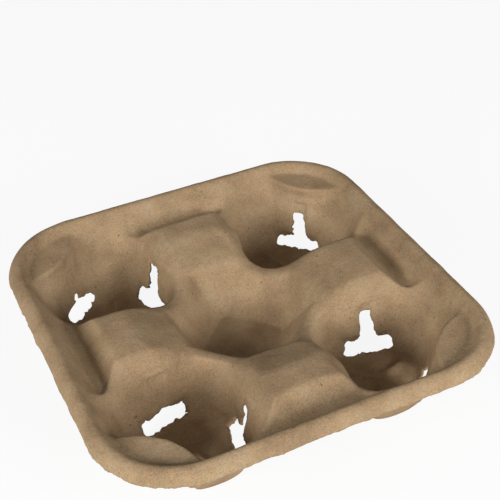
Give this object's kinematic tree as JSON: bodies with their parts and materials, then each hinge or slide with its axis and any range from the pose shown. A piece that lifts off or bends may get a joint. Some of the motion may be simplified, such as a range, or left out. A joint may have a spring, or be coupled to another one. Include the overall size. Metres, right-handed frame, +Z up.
{
  "type": "cup carrier tray",
  "caption": "Moulded pulp carrier tray holding drink cups in round-cornered wells around a shallow middle bowl, with slotted flexing panels and a rolled rim.",
  "frame": {"origin": "middle of the footprint, on the plane the feet stand on", "axes": "+Z up out of the wells; +X and +Y along two sides of the square tray, which are alike"},
  "size_m": [0.216, 0.216, 0.047],
  "materials": {
    "pulp": "matte, fibrous"
  },
  "bodies": {
    "root": {"cup_tray": "pulp"}
  },
  "joints": []
}
